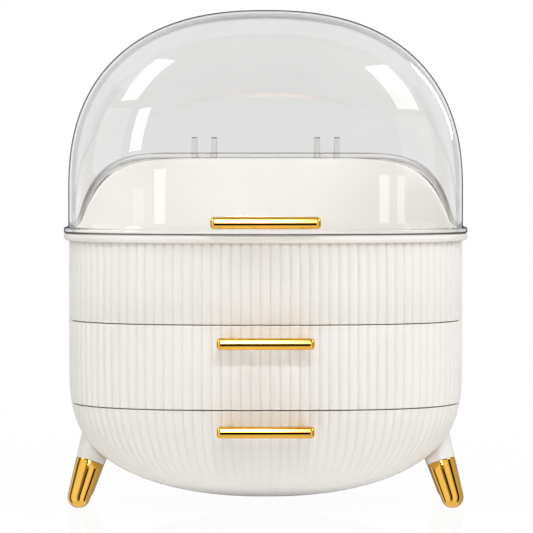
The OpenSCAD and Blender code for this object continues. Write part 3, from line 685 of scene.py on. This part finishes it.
def coverShell():
    reach, high, r, root = rim["reach"], cover["rimHeight"], cover["rimRadius"], cover["rootRadius"]
    off, wall, rows = cover["off"], cover["wall"], cover["rows"]
    shares = [row / rows for row in range(1, rows + 1)]
    foot = [coverRow(reach - r * (1 - math.sin(a)), r * (1 - math.cos(a))) for a in quarter(30)]
    outside = [coverRow(reach, cover["lineHeight"])]
    outside += [coverRow(reach - r * (1 - math.cos(a)), high - r * (1 - math.sin(a))) for a in quarter(30)]
    outside += [coverRow(off + root * (1 - math.sin(a)), high + root * (1 - math.cos(a)))
                for a in quarter(30)]
    outside += [coverRow(off, high + root, share) for share in shares]
    inside = [coverRow(off - wall, 0), coverRow(off - wall, high + root)]
    inside += [coverRow(off - wall, high + root, share, wall) for share in shares]
    columns = smoothColumns(cover["columns"])
    bm, layer, first = startRing(columns, foot[0])
    # painted shade along the foot of the cover, darkest on the foot rows
    paintedLine = bm.verts.layers.float.new("paintedRimShade")
    for v in bm.verts:
        v[paintedLine] = clearLook["paintedRimShadeShare"]

    def grow(edges, places, share):
        # share is how dark the painted rim shade is on these rows
        for place in places:
            edges = growRing(bm, layer, edges, columns, place)
            for v in {v for e in edges for v in e.verts}:
                v[paintedLine] = share
        return edges

    grow(grow(first, foot[1:], clearLook["paintedRimShadeShare"]), outside, 0.0)
    grow(first, inside, 0.0)
    # the painted rim shade grows fainter as the rim climbs to the back
    for v in bm.verts:
        v[paintedLine] *= 1 - clearLook["paintedRimShadeFade"] * rise(v.co.y - midY) / rim["backRise"]
    bmesh.ops.remove_doubles(bm, verts=bm.verts, dist=cover["mergeWithin"])
    bmesh.ops.recalc_face_normals(bm, faces=bm.faces)
    return bm


def hingeEar(x):
    # side view of an ear: up from the rim, over, and down to the barrel on the hinge axis
    bm = bmesh.new()
    radius, corner = hinge["knuckle"], hinge["earCorner"]
    backRim = frontRim + rim["backRise"]
    foot, top = backRim + hinge["earFoot"], backRim + hinge["earHeight"]
    wallY, tipY = halfDeep - hinge["earRoot"], halfDeep + hinge["earLean"] + hinge["earTip"]
    outline = [(wallY, foot), (hingeY - radius, foot)]
    outline += [(hingeY + radius * math.cos(a), hingeZ + radius * math.sin(a))
                for a in (math.radians(degrees) for degrees in range(180, 361, 15))]
    outline += [(hingeY + radius, hingeZ + hinge["earShoulder"])]
    outline += [(tipY + corner * across, top + corner * up) for across, up in hinge["cornerPoints"]]
    outline += [(wallY, top)]
    face = bm.faces.new([bm.verts.new((x - hinge["ear"] / 2, y + midY, z)) for y, z in outline])
    grown = pushOut(bm, [face], (hinge["ear"], 0, 0))
    edges = list({e for f in [face] + only(bmesh.types.BMFace, grown) for e in f.edges})
    bmesh.ops.bevel(bm, geom=edges, offset=hinge["earBevel"], offset_type="OFFSET", affect="EDGES",
                    segments=2, profile=0.5, material=-1)
    return bm


finish(coverShell(), "dustCover", "cover", "clear_plastic", ["dust_cover"], sharp=cover["sharp"])
for number, (side, ear) in enumerate(((-1, -1), (-1, 1), (1, -1), (1, 1))):
    finish(hingeEar(side * hinge["pitch"] / 2 + ear * hinge["earPitch"] / 2), f"hingeEar{number + 1}",
           "cover", "clear_plastic", ["dust_cover"])
print("stage: cover")

handles = {
    "cover": {"node": "cover_handle_bar", "body": "cover"},
    "middle": {"node": "middle_handle_bar", "body": "middle_drawer"},
    "bottom": {"node": "bottom_handle_bar", "body": "bottom_drawer"},
}
bar = {"endRadius": 0.003, "ringGap": 0.0006, "segments": 96}


def handleBar(low, high):
    # a round bar that fills the box of its node, with rounded ends
    radius, half, end = (high.z - low.z) / 2, (high.x - low.x) / 2, bar["endRadius"]
    outline = [(0.0, -half)]
    outline += [(radius - end * (1 - math.sin(a)), -half + end * (1 - math.cos(a))) for a in quarter(10)]
    # a ring close to each end keeps the long face straight in reflections
    outline += [(radius, -half + end + bar["ringGap"]), (radius, half - end - bar["ringGap"])]
    outline += [(radius - end * (1 - math.cos(a)), half - end * (1 - math.sin(a))) for a in quarter(10)]
    outline += [(0.0, half)]
    place = Matrix.Translation((low + high) / 2) @ Matrix.Rotation(math.pi / 2, 4, "Y")
    return turned(outline, bar["segments"], place)


for name, spec in handles.items():
    finish(handleBar(*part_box(spec["node"])), name + "HandleBar", spec["body"], "gold_plating", [spec["node"]])
print("stage: handles")

legs = {
    "footX": 0.148, "frontY": -0.020, "rearY": 0.046, "tilt": 16.8, "rake": 11.0, "ball": 0.0089,
    "taper": 4.3, "cap": 0.0295, "length": 0.066, "flat": 0.0004, "lip": 0.0007, "lipStep": 0.3,
    "capRows": (0.25, 0.5, 0.75), "capSegments": 72, "soleLift": 0.00001, "joint": 0.00005,
    "shaftRows": (0.15, 0.4), "shaftSegments": 96, "sunk": 0.0012, "searchFrom": 0.001,
    "searchPast": 0.02, "halvings": 30,
}


def legRadius(height):
    return legs["ball"] + height * math.tan(math.radians(legs["taper"]))


def insideBowl(point):
    # how far a point lies inside the smooth bowl, as a share of its size there
    size = bowlSize(point.z) if point.z > body["standHeight"] else 0.0
    if size <= 0:
        return -1.0
    power = body["squareness"]
    x, y = abs(point.x) / (halfWide * size), abs(point.y - midY) / (halfDeep * size)
    return 1 - (x ** power + y ** power) ** (1 / power)


def legPlace(sx, sy):
    y = legs["rearY"] if sy > 0 else legs["frontY"]
    tilt = Matrix.Rotation(math.radians(-sx * legs["tilt"]), 4, "Y")
    rake = Matrix.Rotation(math.radians(sy * legs["rake"]), 4, "X")
    return Matrix.Translation((sx * legs["footX"], y + midY, legs["ball"] - legs["flat"])) @ tilt @ rake


def legCap(place):
    ball, cap, lip = legs["ball"], legs["cap"], legs["lip"]
    step = legs["lipStep"] * lip
    outline = [(0.0, -ball)] + [(ball * math.cos(a), ball * math.sin(a))
                                for a in (math.radians(degrees) for degrees in range(-80, 1, 8))]
    outline += [(legRadius(cap * share), cap * share) for share in legs["capRows"]]
    outline += [(legRadius(cap - lip), cap - lip), (legRadius(cap) - step, cap - step),
                (legRadius(cap) - lip, cap), (0.0, cap)]
    bm = turned(outline, legs["capSegments"], place)
    # the ball is flat where it stands
    cut = bmesh.ops.bisect_plane(bm, geom=list(bm.verts) + list(bm.edges) + list(bm.faces),
                                 plane_co=(0, 0, legs["soleLift"]), plane_no=(0, 0, -1), clear_outer=True)
    bmesh.ops.contextual_create(bm, geom=edgesOf(cut["geom_cut"]))
    return bm


def legShaft(place):
    cap, length, lip, joint = legs["cap"], legs["length"], legs["lip"], legs["joint"]
    step = legs["lipStep"] * lip
    outline = [(0.0, cap + joint), (legRadius(cap) - lip, cap + joint),
               (legRadius(cap) - step, cap + step), (legRadius(cap + lip), cap + lip)]
    outline += [(legRadius(cap + (length - cap) * share), cap + (length - cap) * share)
                for share in legs["shaftRows"]]
    bm = turned(outline, legs["shaftSegments"], place)
    # each line of the cone runs up until it is sunk into the bowl's wall
    back = place.inverted()
    mouth = [e for e in bm.edges if e.is_boundary]
    grown = bmesh.ops.extrude_edge_only(bm, edges=mouth)["geom"]
    for v in vertsOf(grown):
        local = back @ v.co
        turn = math.atan2(local.y, local.x)

        def onCone(height):
            radius = legRadius(height)
            return place @ Vector((radius * math.cos(turn), radius * math.sin(turn), height))

        low, high = cap + legs["searchFrom"], length + legs["searchPast"]
        for _ in range(legs["halvings"]):
            mid = (low + high) / 2
            low, high = (low, mid) if insideBowl(onCone(mid)) * halfWide > legs["sunk"] else (mid, high)
        v.co = onCone(high)
    bmesh.ops.contextual_create(bm, geom=edgesOf(grown))
    return bm


for sx, sy, name in ((-1, -1, "front_left"), (1, -1, "front_right"),
                     (-1, 1, "rear_left"), (1, 1, "rear_right")):
    place = legPlace(sx, sy)
    finish(legShaft(place), name + "Leg", "case", "ivory_plastic", [name + "_leg"])
    finish(legCap(place), name + "Cap", "case", "gold_plating", [name + "_cap"])
print("stage: legs")

studio = {
    "floorSize": 12.0, "floorColour": (0.9, 0.9, 0.895), "floorRoughness": 0.0, "world": 0.37,
    "whiteNear": 0.93, "whiteFrom": 0.25, "whiteTo": 0.9, "lampColour": (1, 0.985, 0.965),
    "aimHeight": 0.18, "wallSegments": 96, "cameraDistance": 2.48, "cameraHeight": 0.283,
    "cameraDown": 2.14, "lens": 210.4, "sensor": 36, "clipEnd": 50, "sideways": 0.0007,
}


def seenDirectly(tree):
    # 1 for the camera and for what mirrors and clear pieces show
    path = tree.nodes.new("ShaderNodeLightPath")
    value = path.outputs["Is Camera Ray"]
    for name in ("Is Glossy Ray", "Is Transmission Ray"):
        value = mathOn(tree, "MAXIMUM", value, path.outputs[name])
    # past a diffuse bounce the plain light level holds, so nothing is lit by the white
    first = mathOn(tree, "LESS_THAN", path.outputs["Diffuse Depth"], 0.5)
    return mathOn(tree, "MULTIPLY", value, first)


def studioFloor():
    bm = bmesh.new()
    bmesh.ops.create_grid(bm, x_segments=2, y_segments=2, size=studio["floorSize"] / 2)
    mesh = bpy.data.meshes.new("studioFloor")
    bm.to_mesh(mesh)
    bm.free()
    floor = bpy.data.objects.new("studioFloor", mesh)
    bpy.context.scene.collection.objects.link(floor)
    material, tree, shader = newMaterial("white_floor")
    shader.inputs["Base Color"].default_value = (*studio["floorColour"], 1)
    shader.inputs["Roughness"].default_value = studio["floorRoughness"]
    # pure white further out, so that the floor has no far edge, and a little less near the shadow
    spot = tree.nodes.new("ShaderNodeTexCoord")
    length = tree.nodes.new("ShaderNodeVectorMath")
    length.operation = "LENGTH"
    tree.links.new(spot.outputs["Object"], length.inputs[0])
    fade = rangeFrom(tree, length.outputs["Value"], studio["whiteNear"], 1.0,
                     studio["whiteFrom"], studio["whiteTo"])
    share = mathOn(tree, "MULTIPLY", seenDirectly(tree), fade)
    white = tree.nodes.new("ShaderNodeEmission")
    white.inputs["Color"].default_value = (1, 1, 1, 1)
    surfaceTo(tree, mixShaders(tree, share, shader.outputs["BSDF"], white.outputs["Emission"]))
    mesh.materials.append(material)
    floor.visible_glossy = False


def studioWorld():
    world = bpy.data.worlds.new("studio")
    bpy.context.scene.world = world
    world.use_nodes = True
    tree = world.node_tree
    back = tree.nodes["Background"]
    mix = tree.nodes.new("ShaderNodeMix")
    mix.data_type = "RGBA"
    mix.inputs["A"].default_value = (studio["world"],) * 3 + (1,)
    mix.inputs["B"].default_value = (1, 1, 1, 1)
    tree.links.new(seenDirectly(tree), mix.inputs["Factor"])
    tree.links.new(mix.outputs["Result"], back.inputs["Color"])
    back.inputs["Strength"].default_value = 1.0


# azimuth from the front towards the right and elevation, in degrees, and how far off
lamps = {
    "leftWindow": {"azimuth": -68, "elevation": 43, "away": 1.7, "size": (0.52, 0.8), "power": 8.5},
    "rightWindow": {"azimuth": 71, "elevation": 38.5, "away": 1.7, "size": (0.72, 0.78), "power": 10.2},
    "frontKey": {"azimuth": 8, "elevation": 34, "away": 1.9, "size": (0.3, 0.14), "power": 8.0,
                 "mirrored": False},
    "lowFill": {"azimuth": 3, "elevation": -2, "away": 1.9, "size": (1.5, 0.3), "power": 1.4,
                "mirrored": False},
    "lowGlow": {"azimuth": 0, "elevation": -72, "away": 0.182, "size": (0.32, 0.044), "power": 0.0075,
                "mirrored": False},
    "topBox": {"azimuth": 0, "elevation": 72, "away": 1.8, "size": (1.2, 0.8), "power": 5.2,
               "mirrored": False},
}
# cards that show in polished and clear pieces, or in gold and ivory only, and one that lights the back
cards = {
    "darkCeiling": {"low": (-2.0, -2.1, 1.6), "high": (2.0, -0.15, 2.7), "glow": 0.04},
    "goldFlag": {"low": (-0.1, -1.0, -0.42), "high": (0.1, -1.0, 0.14), "glow": 0.0, "goldOnly": True},
    "goldSoftbox": {"low": (-0.1, -1.0, 0.336), "high": (0.1, -0.45, 0.97), "glow": 20.0, "goldOnly": True,
                    "fade": (-0.005, 0.045, 0.26)},
    "leftGlow": {"azimuth": -76, "elevation": 15, "away": 1.95, "size": (1.15, 0.75), "glow": 1.2},
    "rightGlow": {"azimuth": 70, "elevation": 12, "away": 1.95, "size": (1.25, 0.7), "glow": 1.0},
    "stripB": {"azimuth": -47.5, "elevation": 16.5, "away": 1.8, "size": (0.28, 0.5), "glow": 7.0},
    "stripD": {"azimuth": -30.5, "elevation": 1, "away": 1.9, "size": (0.2, 0.2), "glow": 4.0},
    "stripE": {"azimuth": -43.5, "elevation": 0, "away": 1.9, "size": (0.24, 0.12), "glow": 1.4},
    "stripF": {"azimuth": 38, "elevation": 0.5, "away": 1.9, "size": (0.2, 0.18), "glow": 3.6},
    "stripG": {"azimuth": 49.5, "elevation": 1, "away": 1.9, "size": (0.2, 0.16), "glow": 3.0},
    "backFill": {"azimuth": 180, "elevation": 8, "away": 1.4, "size": (2.2, 1.2), "glow": 0.85,
                 "lights": True},
    "stripH": {"azimuth": 136, "elevation": 22, "away": 1.8, "size": (0.26, 0.75), "glow": 6.0},
}
# round walls of upright light and dark bands, azimuth against brightness
walls = {
    "goldWall": {
        "radius": 1.3, "low": -1.1, "high": 0.95, "goldOnly": True,
        "bands": [(-180, 0.3), (-138, 0.35), (-132, 1.0), (-112, 1.0), (-106, 0.16), (-86, 0.16),
                  (-80, 1.15), (-28, 1.2), (-15, 0.22), (-4, 0.3), (8, 0.75), (16, 1.25), (42, 1.15),
                  (52, 0.75), (58, 0.0), (72, 0.0), (77, 0.75), (115, 0.6), (180, 0.3)],
    },
    "darkWall": {
        "radius": 2.1, "low": -1.6, "high": 1.6,
        "bands": [(-180, 1.0), (-118, 1.0), (-100, 0.04), (100, 0.04), (118, 1.0), (180, 1.0)],
    },
}


def lookFrom(spec):
    # where a lamp or card stands, and its turn towards the object
    a, e = math.radians(spec["azimuth"]), math.radians(spec["elevation"])
    toward = Vector((math.sin(a) * math.cos(e), -math.cos(a) * math.cos(e), math.sin(e)))
    spot = Vector((0, 0, studio["aimHeight"])) + toward * spec["away"]
    return spot, (-toward).to_track_quat("-Z", "Y")


def addLamp(name, spec):
    data = bpy.data.lights.new(name, "AREA")
    data.shape = "RECTANGLE"
    data.size, data.size_y = spec["size"]
    data.energy = spec["power"]
    data.color = studio["lampColour"]
    lamp = bpy.data.objects.new(name, data)
    spot, turn = lookFrom(spec)
    lamp.location, lamp.rotation_euler = spot, turn.to_euler()
    lamp.visible_glossy = spec.get("mirrored", True)
    lamp.visible_transmission = lamp.visible_camera = False
    bpy.context.scene.collection.objects.link(lamp)


def stageCard(name, bm, spec, brightness):
    # brightness builds the strength socket from a node tree, or is a plain number
    lights = spec.get("lights", False)
    mesh = bpy.data.meshes.new(name)
    bm.to_mesh(mesh)
    bm.free()
    card = bpy.data.objects.new(name, mesh)
    bpy.context.scene.collection.objects.link(card)
    material, tree, shader = newMaterial(name)
    tree.nodes.remove(shader)
    glow = tree.nodes.new("ShaderNodeEmission")
    if callable(brightness):
        tree.links.new(brightness(tree), glow.inputs["Strength"])
    else:
        glow.inputs["Strength"].default_value = brightness
    result = glow.outputs["Emission"]
    if spec.get("goldOnly", False):
        # clear plastic, a perfect mirror, doesn't show this card
        path = tree.nodes.new("ShaderNodeLightPath")
        result = seeThrough(tree, path.outputs["Is Singular Ray"], result, (1, 1, 1))
    surfaceTo(tree, result)
    mesh.materials.append(material)
    if lights:
        material.cycles.emission_sampling = "NONE"
    card.visible_diffuse, card.visible_glossy = lights, not lights
    card.visible_camera = card.visible_transmission = False
    card.visible_shadow = card.visible_volume_scatter = False


def objectAxes(tree):
    where, axes = tree.nodes.new("ShaderNodeTexCoord"), tree.nodes.new("ShaderNodeSeparateXYZ")
    tree.links.new(where.outputs["Object"], axes.inputs["Vector"])
    return axes.outputs


def addCard(name, spec):
    bm = bmesh.new()
    made = bmesh.ops.create_grid(bm, x_segments=1, y_segments=1, size=0.5)["verts"]
    if "low" in spec:
        low, high = Vector(spec["low"]), Vector(spec["high"])
        for v in made:
            up = v.co.y + 0.5
            v.co = (low.x + (high.x - low.x) * (v.co.x + 0.5), low.y + (high.y - low.y) * up,
                    low.z + (high.z - low.z) * up)
    else:
        spot, turn = lookFrom(spec)
        bmesh.ops.scale(bm, vec=(*spec["size"], 1), verts=made)
        bmesh.ops.transform(bm, matrix=Matrix.Translation(spot) @ turn.to_matrix().to_4x4(), verts=made)

    def faded(tree):
        start, end, left = spec["fade"]
        return rangeFrom(tree, objectAxes(tree)["X"], spec["glow"], spec["glow"] * left, start, end)

    stageCard(name, bm, spec, faded if "fade" in spec else spec["glow"])


def addWall(name, spec):
    bm = bmesh.new()
    low, high = spec["low"], spec["high"]
    made = bmesh.ops.create_cone(bm, cap_ends=False, segments=studio["wallSegments"], radius1=spec["radius"],
                                 radius2=spec["radius"], depth=high - low)["verts"]
    bmesh.ops.translate(bm, vec=(0, 0, (low + high) / 2), verts=made)

    def banded(tree):
        axes = objectAxes(tree)
        turn = mathOn(tree, "ARCTAN2", axes["X"], mathOn(tree, "MULTIPLY", axes["Y"], -1.0))
        share = rangeFrom(tree, turn, 0.0, 1.0, -math.pi, math.pi)
        peak = max(level for _, level in spec["bands"])
        ramp = rampFrom(tree, share, [((azimuth + 180) / 360, (level / peak,) * 3)
                                      for azimuth, level in spec["bands"]])
        return mathOn(tree, "MULTIPLY", ramp, peak)

    stageCard(name, bm, spec, banded)


def addCamera():
    data = bpy.data.cameras.new("camera")
    data.lens = studio["lens"]
    data.sensor_width = studio["sensor"]
    data.clip_end = studio["clipEnd"]
    camera = bpy.data.objects.new("camera", data)
    camera.location = (studio["sideways"], midY - studio["cameraDistance"], studio["cameraHeight"])
    camera.rotation_euler = (math.radians(90 - studio["cameraDown"]), 0, 0)
    bpy.context.scene.collection.objects.link(camera)
    bpy.context.scene.camera = camera


studioFloor()
studioWorld()
for name, spec in lamps.items():
    addLamp(name, spec)
for name, spec in cards.items():
    addCard(name, spec)
for name, spec in walls.items():
    addWall(name, spec)
addCamera()
bpy.context.scene.view_settings.view_transform = "Standard"
print("stage: studio")
